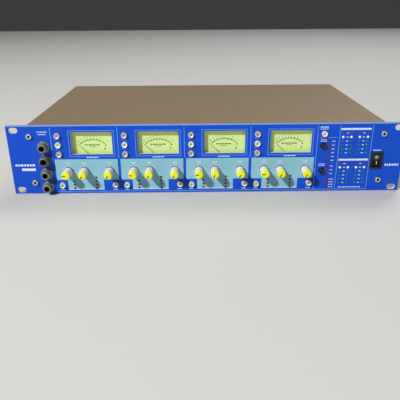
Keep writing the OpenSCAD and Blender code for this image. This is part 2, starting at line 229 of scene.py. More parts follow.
def darker(colour, share):
    return tuple(v * share for v in colour)


def paint(name, colour, roughness, grain=0.5, relief=0.01, mottle=0.08, bare=None, **constants):
    # sprayed paint: fine orange peel, slow change of shade, and, where the mask says, another tone in place
    # of the paint (bare metal, or a painted sheen)
    made = Finish(name, **constants)
    cloud = made.noise(35, 3)
    shade = made.mix(cloud, darker(colour, 1 - mottle), darker(colour, 1 + mottle))
    rough = roughness - 0.06 + 0.12 * made.noise(9, 3)
    if bare:
        mask, under = bare(made)
        shade = made.mix(mask, shade, under)
        rough = rough * (1 - mask) + 0.4 * mask
    made.set(baseColor=shade, roughness=rough)
    return made.bump(made.noise(grain, 2), relief)


def metal(name, colour, roughness, stretch=(1, 1, 1), grain=0.3, relief=0.003, stain=0.12,
          metallic=1.0, recess=None, **constants):
    # plated or brushed metal: streaks along one axis, a slow change of shine, and painted shade inside the
    # recess
    made = Finish(name, metallic=metallic, **constants)
    streak = made.noise(grain, 2, stretch)
    cloud = made.noise(8, 3)
    shade = made.mix(cloud, darker(colour, 1 - stain), colour)
    if recess:
        # painted shade: the recess is made nearly black, for the shadow inside it
        inside = made.node("ShaderNodeAttribute", {"attribute_name": "rim"}, output="Fac") < recess
        shade = made.mix(inside, shade, darker(colour, 0.06))
    made.set(baseColor=shade, roughness=(roughness - 0.05 + 0.06 * streak + 0.08 * cloud))
    return made.bump(streak, relief)


def plastic(name, colour, roughness, grain=0.25, relief=0.006, mottle=0.06, **constants):
    # moulded plastic: even colour with faint flow marks and a fine spark texture
    made = Finish(name, **constants)
    flow = made.noise(6, 3)
    made.set(baseColor=made.mix(flow, darker(colour, 1 - mottle), darker(colour, 1 + mottle)))
    made.set(roughness=roughness - 0.04 + 0.08 * flow)
    return made.bump(made.noise(grain, 2), relief)


# Shapes: each returns (points, faces), points in millimetres

def rounded(corners, steps=5):
    # a profile of (radius, out, fillet) corners; a fillet becomes an arc that touches both sides
    points = []
    for i, (a, b, fillet) in enumerate(corners):
        here = np.array([a, b], float)
        if fillet <= 0 or i in (0, len(corners) - 1):
            points.append(here)
            continue
        before = np.array(corners[i - 1][:2]) - here
        after = np.array(corners[i + 1][:2]) - here
        before, after = before / np.linalg.norm(before), after / np.linalg.norm(after)
        half = math.acos(np.clip(before @ after, -1, 1)) / 2
        middle = before + after
        centre = here + middle / np.linalg.norm(middle) * fillet / math.sin(half)
        start, end = (here + way * fillet / math.tan(half) - centre for way in (before, after))
        sweep = math.acos(np.clip(start @ end / fillet ** 2, -1, 1))
        for t in np.linspace(0, 1, steps):
            arm = start * math.sin((1 - t) * sweep) + end * math.sin(t * sweep)
            points.append(centre + arm / math.sin(sweep))
    return np.array(points)


def turned(profile, spots, face, sides=48, loop=False, wave=None, outward=-1):
    # the profile's (radius, out) carried round the axis at each (x, z) spot; out is measured from
    # the plane y = face. The ends of an open profile close on the axis. wave(angle, radius, out)
    # changes the radius
    profile = np.asarray(profile, float)
    turns = np.arange(sides) * 2 * math.pi / sides
    rings = profile if loop else profile[1:-1]
    radius = np.repeat(rings[:, :1], sides, 1)
    out = np.repeat(rings[:, 1:], sides, 1)
    if wave:
        radius = radius + wave(turns[None, :], radius, out)
    body = np.stack([radius * np.cos(turns), face + outward * out, radius * np.sin(turns)], -1).reshape(-1, 3)
    i, j = np.meshgrid(np.arange(len(rings) - (0 if loop else 1)), np.arange(sides), indexing="ij")
    up, on = (i + 1) % len(rings), (j + 1) % sides
    quads = np.stack([i * sides + j, i * sides + on, up * sides + on, up * sides + j], -1).reshape(-1, 4)
    faces = quads.tolist()
    if not loop:
        first, last = len(body), len(body) + 1
        ends = [[0, face + outward * profile[0, 1], 0], [0, face + outward * profile[-1, 1], 0]]
        body = np.vstack([body, ends])
        tail = (len(rings) - 1) * sides
        faces += [[first, (n + 1) % sides, n] for n in range(sides)]
        faces += [[last, tail + n, tail + (n + 1) % sides] for n in range(sides)]
    return copied(body, faces, spots)


def copied(points, faces, spots):
    # one copy at each (x, z) spot
    every, all_faces = [], []
    for n, (x, z) in enumerate(spots):
        every.append(points + [x, 0, z])
        all_faces += [[v + n * len(points) for v in f] for f in faces]
    return np.vstack(every), all_faces


def boxes(rows, y0, y1):
    # flat bars: (x, z, width, height, degrees clockwise) between two planes
    rows = np.array([(*row, 0)[:5] for row in rows], float)
    signs = np.array([(a, b, c) for a in (-1, 1) for b in (0, 1) for c in (-1, 1)], float)
    turn = np.radians(rows[:, 4:5])
    across = signs[None, :, 0] * rows[:, 2:3] / 2
    along = signs[None, :, 2] * rows[:, 3:4] / 2
    x = rows[:, 0:1] + across * np.cos(turn) + along * np.sin(turn)
    z = rows[:, 1:2] - across * np.sin(turn) + along * np.cos(turn)
    y = np.broadcast_to(y0 + signs[None, :, 1] * (y1 - y0), x.shape)
    sides = [[0, 1, 3, 2], [4, 6, 7, 5], [0, 4, 5, 1], [2, 3, 7, 6], [0, 2, 6, 4], [1, 5, 7, 3]]
    faces = [[v + 8 * n for v in side] for n in range(len(rows)) for side in sides]
    return np.stack([x, y, z], -1).reshape(-1, 3), faces


def band(x, z, radius, width, start, end, y0, y1, steps=40):
    # a flat strip along an arc, angles in degrees clockwise from the top
    turn = np.radians(np.linspace(start, end, steps))
    inner, outer = radius - width / 2, radius + width / 2
    section = [(inner, y0), (outer, y0), (outer, y1), (inner, y1)]
    rows = [np.stack([x + r * np.sin(turn), np.full(steps, y), z + r * np.cos(turn)], -1) for r, y in section]
    points = np.stack(rows, 1).reshape(-1, 3)
    faces = [[4 * i + j, 4 * i + (j + 1) % 4, 4 * i + 4 + (j + 1) % 4, 4 * i + 4 + j]
             for i in range(steps - 1) for j in range(4)]
    return points, faces + [[3, 2, 1, 0], [4 * steps - 4 + j for j in range(4)]]


def figures(rows, y, raise_by=0.02):
    # numbers as raised meshes: (text, x, z, height, degrees clockwise), centred on their spots
    points, faces = [], []
    for text, x, z, height, turn in rows:
        curve = bpy.data.curves.new("figure", "FONT")
        curve.body, curve.size, curve.extrude = text, height * 1.38, raise_by
        curve.align_x = "CENTER"
        made = bpy.data.objects.new("figure", curve)
        bpy.context.scene.collection.objects.link(made)
        mesh = made.evaluated_get(bpy.context.evaluated_depsgraph_get()).to_mesh()
        co = np.zeros(len(mesh.vertices) * 3, np.float32)
        mesh.vertices.foreach_get("co", co)
        co = co.reshape(-1, 3).astype(float)
        t = math.radians(turn)
        across, along = co[:, 0], co[:, 1] - height / 2
        flat = [x + across * math.cos(t) + along * math.sin(t), y - co[:, 2],
                z - across * math.sin(t) + along * math.cos(t)]
        start = sum(len(p) for p in points)
        faces += [[v + start for v in polygon.vertices] for polygon in mesh.polygons]
        points.append(np.stack(flat, -1))
        bpy.data.objects.remove(made)
        bpy.data.curves.remove(curve)
    return np.vstack(points), faces


def area(x0, x1, z0, z1):
    # a flat bar between two corners
    return ((x0 + x1) / 2, (z0 + z1) / 2, x1 - x0, z1 - z0)


def outline(x0, x1, z0, z1, width):
    # four bars round a rectangle
    return [area(x0, x1, z1 - width, z1), area(x0, x1, z0, z0 + width),
            area(x0, x0 + width, z0 + width, z1 - width), area(x1 - width, x1, z0 + width, z1 - width)]


def caption(x, z, width, height, blocks):
    # a row of plain blocks stands for a caption: block widths follow a fixed uneven rhythm
    rhythm = np.array([1.0, 0.7, 1.3, 0.9, 1.1, 0.8, 1.2, 0.6])[np.arange(blocks) % 8]
    gap = 0.28 * width / blocks
    wide = rhythm / rhythm.sum() * (width - gap * (blocks - 1))
    left = x - width / 2 + np.concatenate([[0], np.cumsum(wide + gap)[:-1]])
    return [(l + w / 2, z, w, height) for l, w in zip(left, wide)]


def joined(*parts):
    points, faces = [], []
    for some, its in parts:
        start = sum(len(p) for p in points)
        points.append(some)
        faces += [[v + start for v in f] for f in its]
    return np.vstack(points), faces


def piece(name, shape, finish, body="case", instead=(), sharp=38, bevel=0, rim=None):
    # a mesh object that rides on a body; its volume says whether its faces point outwards
    points, faces = shape
    mesh = bpy.data.meshes.new(name)
    mesh.from_pydata((points * mm).tolist(), [], faces)
    mesh.calc_loop_triangles()
    tri = np.zeros(len(mesh.loop_triangles) * 3, np.int32)
    mesh.loop_triangles.foreach_get("vertices", tri)
    a, b, c = (points[tri[n::3]] for n in range(3))
    if np.einsum("ij,ij->i", a, np.cross(b, c)).sum() < 0:
        mesh.flip_normals()
    if rim is not None:
        mesh.attributes.new("rim", "FLOAT", "POINT").data.foreach_set("value", np.asarray(rim, np.float32))
    mesh.materials.append(finish.material)
    mesh.shade_smooth()
    mesh.set_sharp_from_angle(angle=math.radians(sharp))
    made = bpy.data.objects.new(name, mesh)
    bpy.context.scene.collection.objects.link(made)
    if bevel:
        edge = made.modifiers.new("edge", "BEVEL")
        edge.width, edge.segments, edge.limit_method = bevel * mm, 3, "ANGLE"
    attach(made, body)
    for node in instead:
        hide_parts(node)
    return made


def dress(node, finish):
    # a CAD node that keeps its shape gets a finish
    mesh = nodes[node].data
    mesh.materials.clear()
    mesh.materials.append(finish.material)


# Panel, cover and case

caseLook = {
    "blue": screen(14, 76, 202),
    # edge is a painted sheen: a lighter blue on the panel's top and bottom edges for the light they reflect
    "edge": screen(122, 152, 206),
    "edgeFrom": 42.5,
    "reveal": screen(206, 222, 214),
    # the cover's warm brown is partly painted reflection: grey paint tinted by the warm surroundings it
    # reflects
    "cover": screen(156, 136, 110),
    "zinc": screen(150, 152, 155),
    "black": screen(34, 34, 36),
}


def bareCutsAndEdgeSheen(made):
    # everything behind the panel's front face: a painted sheen, a lighter blue standing for reflected light,
    # along its top and bottom edges, and bare metal in its cut-outs
    # painted sheen: the top and bottom edges get the lighter edge blue in place of reflected light
    outer = made.z.size() > caseLook["edgeFrom"]
    mask = (made.y > panelFace + 0.02) * (made.y < 0.02)
    brushed = made.mix(made.noise(0.4, 2, (40, 1, 40)), darker(caseLook["reveal"], 0.85), caseLook["reveal"])
    return mask, made.mix(outer, brushed, caseLook["edge"])


bluePaint = paint("blue_panel_paint", caseLook["blue"], 0.46, grain=0.35, relief=0.006, mottle=0.06,
                  bare=bareCutsAndEdgeSheen, specular=0.2)
# the cover's warm tint is painted reflection over its grey paint
coverReflectionPaint = paint("cover_satin_warm_reflection", caseLook["cover"], 0.4, grain=0.6, relief=0.004, mottle=0.05, metallic=0.25)
zincSheet = metal("zinc_sheet", caseLook["zinc"], 0.38, (1, 12, 1), 0.5, 0.004)
rearPaint = paint("rear_powder_coat", caseLook["black"], 0.55, grain=0.45, relief=0.03, mottle=0.1)
darkZinc = metal("black_zinc", screen(58, 58, 62), 0.35)
dress("front_panel", bluePaint)
dress("top_cover", coverReflectionPaint)
dress("chassis_tray", zincSheet)
dress("rear_panel", rearPaint)
dress("case_screws", darkZinc)
print("case dressed")


# Hidden inside

dress("potentiometers", metal("pot_case", screen(120, 124, 130), 0.4))
dress("button_switches", plastic("switch_case", screen(40, 40, 42), 0.5))
dress("circuit_boards", plastic("solder_mask", screen(22, 92, 56), 0.35, grain=1.2, relief=0.03))
dress("input_transformers", metal("screening_can", screen(176, 178, 182), 0.3, (1, 1, 20)))
dress("mains_transformer", plastic("winding_tape", screen(190, 134, 48), 0.4, grain=2.5, relief=0.2))
dress("meter_housings", plastic("meter_case", screen(22, 22, 24), 0.5))


# Knobs: a ribbed pale body, a dark skirt, a yellow cap and its dark mark

knobLook = {
    "sides": 72,
    "ribs": 24,
    "ribDepth": 0.11,
    "body": screen(232, 232, 216),
    "cap": screen(234, 238, 6),
    "skirt": screen(22, 23, 26),
}
ivory = plastic("knob_ivory", knobLook["body"], 0.42, specular=0.45)
yellow = plastic("cap_yellow", knobLook["cap"], 0.36)
blackSkirt = plastic("skirt_black", knobLook["skirt"], 0.4)
markInk = plastic("mark_black", screen(20, 20, 20), 0.5)


def ribs(turn, radius, out):
    # shallow flutes between the skirt and the cap, fading in and out along the body
    fade = np.clip((out - 3.2) / 1.2, 0, 1) * np.clip((15.0 - out) / 1.0, 0, 1)
    return -knobLook["ribDepth"] * fade * (0.5 + 0.5 * np.cos(knobLook["ribs"] * turn))


knobAngles = {"gain_knob": -90, "trim_knob": -150, "filter_knob": -150}
bodyProfile = rounded([(0, 1.6, 0), (5.6, 1.6, 0.15), (5.65, 2.6, 0), (5.5, 3.4, 0), (5.45, 4.2, 0),
                       (5.3, 9.5, 0), (5.2, 14.2, 0), (5.15, 15.0, 0), (5.1, 15.75, 0.3), (0, 15.75, 0)])
skirtProfile = rounded([(0, 2.0, 0), (4.95, 2.0, 0), (4.95, 0.72, 0.1), (6.1, 0.72, 0.15), (6.1, 1.5, 0.35),
                        (5.6, 2.25, 0.2), (0, 2.25, 0)])
capProfile = rounded([(0, 15.76, 0), (4.8, 15.76, 0), (4.8, 17.82, 0.7), (0, 17.9, 0)])
for k in channels:
    for kind in knobKinds:
        node = f"ch{k + 1}_{kind}"
        spot = [centreOf(node)]
        turn = math.radians(knobAngles[kind])
        x, z = spot[0]
        mark = [(x + 2.3 * math.sin(turn), z + 2.3 * math.cos(turn), 1.15, 3.9, knobAngles[kind])]
        piece(node + "_body", turned(bodyProfile, spot, panelFace, knobLook["sides"], wave=ribs), ivory, node,
              [node])
        skirt = turned(skirtProfile, spot, panelFace)
        piece(node + "_skirt", skirt, blackSkirt, node, [node])
        piece(node + "_cap", turned(capProfile, spot, panelFace), yellow, node, [node])
        piece(node + "_mark", boxes(mark, panelFace - 17.98, panelFace - 17.4), markInk, node)
print("knobs made")


# Push buttons: milky caps, each with its own tint at the centre

buttonLook = {
    "phantom_button": (screen(206, 200, 196), screen(140, 112, 106)),
    "phase_button": (screen(228, 238, 222), screen(96, 164, 70)),
    "filter_button": (screen(200, 192, 188), screen(146, 120, 114)),
    "input_button": (screen(214, 226, 206), screen(106, 158, 84)),
    "insert_button": (screen(228, 222, 206), screen(146, 122, 100)),
    "reset_button": (screen(236, 222, 214), screen(206, 172, 160)),
    "clock_button": (screen(20, 20, 22), screen(26, 26, 28)),
    "source_button": (screen(20, 20, 22), screen(26, 26, 28)),
    "radius": 3.5,
}


def milky(name, edge, centre):
    # the tint fades from the centre to the rim, from the mesh's own rim value
    made = Finish(name, roughness=0.24, coatWeight=0.3, coatRoughness=0.1)
    rim = made.node("ShaderNodeAttribute", {"attribute_name": "rim"}, output="Fac")
    cloudy = (rim + 0.12 * made.noise(1.2, 2) - 0.06).clamped()
    made.set(baseColor=made.shades(cloudy, (0.3, centre), (0.62, edge)))
    return made.bump(made.noise(0.3, 2), 0.004)


# a stem, a rim and a dished face with a small raised lamp in its middle
buttonProfile = rounded([(0, -9.0, 0), (2.0, -9.0, 0.2), (2.0, -4.0, 0), (3.45, -4.0, 0.2),
                         (3.5, 2.98, 0.45), (3.0, 2.98, 0.2), (1.7, 2.1, 0.5), (1.3, 2.1, 0.1),
                         (1.2, 2.45, 0.2), (0, 2.6, 0)])
buttonFinishes = {}
for node in buttonNodes:
    kind = node.split("_", 1)[1] if node.startswith("ch") else node
    if kind not in buttonFinishes:
        edge, centre = buttonLook[kind]
        buttonFinishes[kind] = milky("milky_" + kind, edge, centre)
    spot = centreOf(node)
    shape = turned(buttonProfile, [spot], panelFace, 32)
    reach = np.hypot(shape[0][:, 0] - spot[0], shape[0][:, 2] - spot[1]) / buttonLook["radius"]
    piece(node + "_cap", shape, buttonFinishes[kind], node, [node], rim=reach)
print("buttons made")


# Indicators: small domed lenses, most of them dark

lensLook = {
    "maroon": screen(96, 28, 56),
    "red": screen(112, 42, 72),
    "white": screen(248, 250, 255),
    "green": screen(20, 110, 112),
}
lensProfile = rounded([(0, -11.8, 0), (1.5, -11.8, 0.1), (1.5, 0.1, 0.5), (1.25, 0.55, 0.4), (0, 0.72, 0)])
lensSpots = {colour: [] for colour in lensLook}
bars = sorted({round(z, 1) for x, z in centresIn("indicator_leds") if x > 160}, reverse=True)
for x, z in centresIn("indicator_leds"):
    row = bars.index(round(z, 1)) % 6 if x > 160 else None
    colour = "maroon" if row is None else ("red", "white", "green", "green", "green", "green")[row]
    lensSpots[colour].append((x, z))
for colour, spots in lensSpots.items():
    lens = plastic("lens_" + colour, lensLook[colour], 0.16, coatWeight=0.6, coatRoughness=0.05)
    piece("indicator_lenses_" + colour, turned(lensProfile, spots, panelFace, 20), lens, "case",
          ["indicator_leds"])
print("indicators made:", sum(len(spots) for spots in lensSpots.values()))


# Meters: dial with its printed scale, needle with its coil, and the clear window

meterLook = {
    "dial": screen(206, 238, 158),
    "print": screen(58, 84, 34),
    "red": screen(232, 150, 96),
    # lamp is the colour of the dial's painted glow
    "lamp": screen(196, 176, 70),
    "arc": 23.0,
    "sweep": 38.25,
    "marks": 19,
    "redFrom": 27,
    "labels": ["20", "15", "10", "7", "5", "3", "1", "0", "1", "3"],
    "needle": 26.6,
}
# a painted glow: the dial's faint emission keeps its shadows warm, as if lit from behind
dialGlowPaint = paint("dial_paint_glow", meterLook["dial"], 0.6, grain=0.25, relief=0.004, mottle=0.03, specular=0.2,
                  emissionColor=meterLook["lamp"], emissionStrength=0.14)
dress("meter_dials", dialGlowPaint)
dialInk = plastic("dial_ink", meterLook["print"], 0.7, specular=0.2)
dialRed = plastic("dial_red_ink", meterLook["red"], 0.7, specular=0.2)
clear = Finish("meter_window", baseColor=(0.5, 0.52, 0.52), roughness=0.03)
facing = clear.node("ShaderNodeLayerWeight", values={"Blend": 0.5}, output="Facing")
clear.set(alpha=(0.03 + 0.5 * facing * facing * facing * facing).clamped())
clear.material.surface_render_method = "BLENDED"
dress("meter_windows", clear)
inkFront, inkBack = dialFace - 0.05, dialFace + 0.01
for k in channels:
    node = f"ch{k + 1}_meter_needle"
    x, z = pivots[node][0], pivots[node][2]
    arc, sweep, redFrom = meterLook["arc"], meterLook["sweep"], meterLook["redFrom"]
    turns = np.linspace(-sweep, sweep, meterLook["marks"])
    long = np.arange(len(turns)) % 2 == 0
    tall, wide = np.where(long, 2.3, 1.4), np.where(long, 0.95, 0.5)
    lean = np.radians(turns)
    away = arc + tall / 2
    ticks = np.stack([x + away * np.sin(lean), z + away * np.cos(lean), wide, tall, turns], -1)
    numbers = [(label, x + (arc + 4.5) * math.sin(t), z + (arc + 4.5) * math.cos(t), 1.9, math.degrees(t))
               for label, t in zip(meterLook["labels"], lean[long])]
    words = caption(x - 0.8, z + 16.8, 18.4, 1.5, 7) + caption(x - 0.5, z + 14.6, 7.5, 0.8, 4)
    signs = [(x + 15.6, z + 16.2, 1.6, 1.5), (x + 14.6, z + 12.2, 1.5, 1.4), (x + 14.4, z + 10.4, 1.5, 0.7),
             (x - 16.0, z + 12.6, 1.2, 0.5)]
    ink = joined(boxes(ticks[turns < redFrom].tolist() + words + signs, inkFront, inkBack),
                 band(x, z, arc, 0.4, -sweep - 2.5, redFrom, inkFront, inkBack),
                 figures(numbers, inkFront + 0.03))
    piece(f"ch{k + 1}_dial_print", ink, dialInk, "case")
    red = joined(boxes(ticks[turns > redFrom].tolist(), inkFront, inkBack),
                 band(x, z, arc + 0.3, 0.9, redFrom, sweep + 2.5, inkFront, inkBack))
    piece(f"ch{k + 1}_dial_red", red, dialRed, "case")
print("dials printed")

needleInk = plastic("needle_black", screen(44, 52, 30), 0.5)
copper = metal("coil_copper", screen(184, 106, 62), 0.35, (1, 10, 1))


def needleShape(x, z, turn):
    # tapered pointer with a short tail and a round hub, leaning by turn degrees from the top
    t = math.radians(turn)
    along = np.array([-5.0, -4.6, 0.0, 8.0, 18.0, 25.6, meterLook["needle"]])
    half = np.array([0.5, 0.75, 0.5, 0.32, 0.26, 0.22, 0.08])
    ring = []
    for y in (2.42, 2.68):
        for side in (-1, 1):
            ring.append(np.stack([x + side * half * math.cos(t) + along * math.sin(t), np.full(7, y),
                                  z - side * half * math.sin(t) + along * math.cos(t)], -1))
    points = np.stack([ring[0], ring[1], ring[3], ring[2]], 1).reshape(-1, 3)
    faces = [[4 * i + j, 4 * i + (j + 1) % 4, 4 * i + 4 + (j + 1) % 4, 4 * i + 4 + j]
             for i in range(6) for j in range(4)]
    return points, faces + [[3, 2, 1, 0], [24, 25, 26, 27]]


hubProfile = rounded([(0, -8.4, 0), (1.6, -8.4, 0.1), (1.6, -2.5, 0.3), (0, -2.3, 0)])
arborProfile = rounded([(0, -16.5, 0), (0.6, -16.5, 0.2), (0.6, -8.3, 0), (0, -8.3, 0)])
for k in channels:
    node = f"ch{k + 1}_meter_needle"
    x, z = pivots[node][0], pivots[node][2]
    hub, arbor = turned(hubProfile, [(x, z)], 0, 24), turned(arborProfile, [(x, z)], 0, 16)
    piece(node + "_pointer", joined(needleShape(x, z, -45), hub, arbor), needleInk, node, [node])
    coil = boxes([(x, z, 6.3, 6.3, -45)], 9.6, 16.4)
    piece(node + "_coil", coil, copper, node, [node], bevel=0.6)
print("needles made")


# Instrument jacks: a dull nickel nut with a bevelled face on a washer, and a dark socket inside it

jackLook = {"nut": screen(132, 137, 122), "body": 15}
nickel = metal("dark_nickel", jackLook["nut"], 0.42, (1, 1, 1), 0.2, 0.003, metallic=0.35)
jackBlack = plastic("jack_moulding", screen(20, 20, 21), 0.35)
contactGilt = metal("contact_gilt", screen(212, 176, 92), 0.3)
jackPlaces = {(round(x, 1), round(z, 1)) for x, z in centresIn("instrument_jacks")}
jackSpots = sorted(jackPlaces, key=lambda place: -place[1])
nutProfile = rounded([(4.75, 0.02, 0), (7.3, 0.02, 0), (7.3, 1.38, 0.4), (5.7, 1.38, 0.12),
                      (5.7, 8.1, 0.2), (4.5, 9.58, 0.2), (3.5, 9.58, 0.15), (3.5, 8.42, 0),
                      (4.75, 8.42, 0)])
coreProfile = rounded([(3.2, -24.0, 0), (3.2, 8.38, 0.1), (4.7, 8.38, 0), (4.7, -3.1, 0),
                       (4.8, -3.1, 0), (4.8, -24.0, 0)])
springProfile = rounded([(2.4, -13.0, 0), (3.15, -13.0, 0), (3.15, -9.0, 0), (2.4, -9.8, 0.2)])


def jackPiece(name, shape, finish):
    # a piece that stands for part of the instrument jacks
    piece(name, shape, finish, "case", ["instrument_jacks"])


jackPiece("instrument_jack_nuts", turned(nutProfile, jackSpots, panelFace, 64, loop=True), nickel)
jackPiece("instrument_jack_sockets", turned(coreProfile, jackSpots, panelFace, 40, loop=True), jackBlack)
half = jackLook["body"] / 2
frames = [(x + a * (half + 5) / 2, z, half - 5, 2 * half) for x, z in jackSpots for a in (-1, 1)]
frames += [(x, z + a * (half + 5) / 2, 10, half - 5) for x, z in jackSpots for a in (-1, 1)]
backs = [(x, z, 2 * half, 2 * half) for x, z in jackSpots]
jackPiece("instrument_jack_bodies", joined(boxes(frames, 0.12, 25), boxes(backs, 25, 27)), jackBlack)
jackPiece("instrument_jack_springs", turned(springProfile, jackSpots, panelFace, 32, loop=True), contactGilt)


# Panel screws: bright socket heads

# the heads' hex sockets get painted shade, nearly black
chromeScrew = metal("bright_plating", screen(232, 230, 218), 0.24, grain=0.2, relief=0.002, recess=1.66)


def hexReach(turn):
    # distance from the centre to a hexagon's side, for a hexagon whose corners lie at 1
    sixth = math.pi / 3
    return math.cos(sixth / 2) / np.cos(turn % sixth - sixth / 2)


def socketHead(spots):
    # rings of a head: the inner ones follow a hexagon, the outer ones a circle
    def hexagon(turn, radius, out):
        inner = (radius < 1.9) & (radius > 0.01)
        return np.where(inner, radius * hexReach(turn) - radius, 0)
    top = panelFace - corner("panel_screws", 0)[1]
    rows = rounded([(0, 0.85, 0), (1.73, 0.85, 0), (1.73, top - 0.2, 0), (1.98, top - 0.02, 0),
                    (3.5, top - 0.02, 0.45), (3.5, 0.0, 0), (2.0, 0, 0), (2.0, -9.5, 0.4), (0, -9.5, 0)])
    return turned(rows, spots, panelFace, 48, wave=hexagon)


screwSpots = centresIn("panel_screws")
heads = socketHead(screwSpots)
reach = np.min([np.hypot(heads[0][:, 0] - x, heads[0][:, 2] - z) for x, z in screwSpots], axis=0)
piece("panel_screw_heads", heads, chromeScrew, "case", ["panel_screws"], rim=reach)
print("jacks and screws made")


# Mains rocker

rockerLook = {
    "black": screen(20, 21, 23),
    "mark": screen(226, 230, 230),
    "flat": 3.52,
    "reach": 4.2,
    "tip": 24,
}
gloss = plastic("switch_gloss", rockerLook["black"], 0.3, coatWeight=0.2, coatRoughness=0.1)
dress("power_switch_body", gloss)
rockerGloss = plastic("rocker_gloss", rockerLook["black"], 0.34, coatWeight=0.3, coatRoughness=0.15)
dress("power_rocker", rockerGloss)
markPaint = plastic("rocker_mark_paint", rockerLook["mark"], 0.5)


def tipped(shape, pivot, degrees):
    # the shape turned about the X axis through the pivot
    t = math.radians(degrees)
    y, z = shape[0][:, 1] - pivot[1], shape[0][:, 2] - pivot[2]
    turnedY, turnedZ = y * math.cos(t) - z * math.sin(t), y * math.sin(t) + z * math.cos(t)
    return np.stack([shape[0][:, 0], pivot[1] + turnedY, pivot[2] + turnedZ], -1), shape[1]


# a ring on the upper half, which lies flat at rest, and a bar on the lower half, which is tipped out
pivot = pivots["power_rocker"]
flat, reach = pivot[1] - rockerLook["flat"], rockerLook["reach"]
ringProfile = [(1.0, -0.1), (1.65, -0.1), (1.65, 0.05), (1.0, 0.05)]
ring = turned(ringProfile, [(pivot[0], pivot[2] + reach)], flat, 32, loop=True)
bar = boxes([(pivot[0], pivot[2] - reach, 0.8, 3.6)], flat - 0.05, flat + 0.1)
bar = tipped(bar, pivot, -rockerLook["tip"])
piece("rocker_marks", joined(ring, bar), markPaint, "power_rocker")
print("rocker marked")


# Back of the case: gilt pins and contacts, nickel nuts, levers, inlet blades and plain printing

backLook = {
    "nickel": screen(196, 196, 190),
    "ink": screen(186, 190, 192),
    "inkDepth": 0.03,
    "contactTurns": (0, 90, 180),
    "contactCircle": 4.6,
}
backFace = corner("rear_panel", 1)[1]
dress("xlr_sockets", metal("socket_black", screen(62, 62, 66), 0.36, metallic=0.5))
dress("line_jacks", plastic("line_jack_moulding", screen(24, 24, 25), 0.35))
dress("mains_inlet", plastic("inlet_moulding", screen(24, 24, 25), 0.38))
brightNickel = metal("bright_nickel", backLook["nickel"], 0.26)


def sized(node, low, high):
    # x and z of the solids in a node whose width is between two sizes
    return [tuple(((a + b) / 2)[[0, 2]]) for a, b in solidBoxes(node) if low < (b - a)[0] < high]


def hexagonal(turn, radius, out):
    return np.where(radius > 6, radius * hexReach(turn) - radius, 0)


def contactsOf(spots):
    # three contacts on a circle about each spot: right, below and left
    turns, away = np.radians(backLook["contactTurns"]), backLook["contactCircle"]
    return [(x + away * math.cos(t), z - away * math.sin(t)) for x, z in spots for t in turns]


def backPiece(name, shape, finish, bevel=0):
    # a piece that adds to the sockets at the back and takes no node's place
    piece(name, shape, finish, "case", bevel=bevel)


shells = sorted(sized("xlr_sockets", 20, 40))
inputs, outputs = shells[::2], shells[1::2]
pinProfile = rounded([(0, -15.9, 0), (1.17, -15.9, 0), (1.17, 0.7, 0.6), (0, 0.7, 0)])
tubeProfile = [(0.75, -9.0), (1.32, -9.0), (1.32, 0.6), (1.05, 0.8), (0.75, 0.6)]
backPiece("connector_pins", turned(pinProfile, contactsOf(outputs), backFace, 20, outward=1), contactGilt)
tubes = turned(tubeProfile, contactsOf(inputs), backFace, 20, loop=True, outward=1)
backPiece("connector_contacts", tubes, contactGilt)
levers = boxes([(x, z + 12.2, 7, 3.2) for x, z in inputs], backFace + 1, backFace + 2.7)
backPiece("connector_levers", levers, brightNickel, 0.5)
lineSpots = sorted({(round(x, 1), round(z, 1)) for x, z in centresIn("line_jacks")})
nutRing = rounded([(4.75, 0.0, 0), (7.66, 0.0, 0), (7.66, 2.45, 0.3), (4.75, 2.45, 0)])
nuts = turned(nutRing, lineSpots, backFace, 48, loop=True, wave=hexagonal, outward=1)
backPiece("line_jack_nuts", nuts, brightNickel)
inlet = max(sized("mains_inlet", 45, 55))
blades = [(inlet[0] + x, inlet[1] + z, 4.2, 2.2) for x, z in ((-7, -2), (0, 2), (7, -2))]
backPiece("inlet_blades", boxes(blades, backFace - 15.8, backFace - 1.85), brightNickel, 0.15)

backRows = [(x, z - 18.2, 11, 1.1) for x, z in shells] + [(x, z - 10.2, 9, 1.1) for x, z in lineSpots]
backRows += [((a[0] + b[0]) / 2, -4, 0.5, 62) for a, b in zip(outputs[:-1], inputs[1:])]
backRows = [bit for x, z, w, h in backRows for bit in (caption(x, z, w, h, 5) if w > 1 else [(x, z, w, h)])]
backInk = paint("ink_back", backLook["ink"], 0.5, grain=0.3, relief=0.003, mottle=0.06)
backPiece("printing_back", boxes(backRows, backFace - 0.005, backFace + backLook["inkDepth"]), backInk)
print("back dressed:", len(shells), "connectors,", len(lineSpots), "line sockets")


# Printing on the front panel: thin layers of ink that follow the layout of one channel

inkLook = {
    "pale": screen(136, 190, 208),
    "line": screen(104, 160, 244),
    "white": screen(210, 230, 255),
    "paleBack": 0.03,
    "lineBack": 0.045,
    "labelBack": 0.06,
}
paleInk = paint("ink_pale", inkLook["pale"], 0.5, grain=0.3, relief=0.004, mottle=0.07, specular=0.2)
lineInk = paint("ink_line", inkLook["line"], 0.5, grain=0.3, relief=0.003, mottle=0.05, specular=0.2)
whiteInk = paint("ink_white", inkLook["white"], 0.5, grain=0.3, relief=0.003, mottle=0.05, specular=0.2)


def inked(name, shape, finish):
    piece(name, shape, finish, "case")


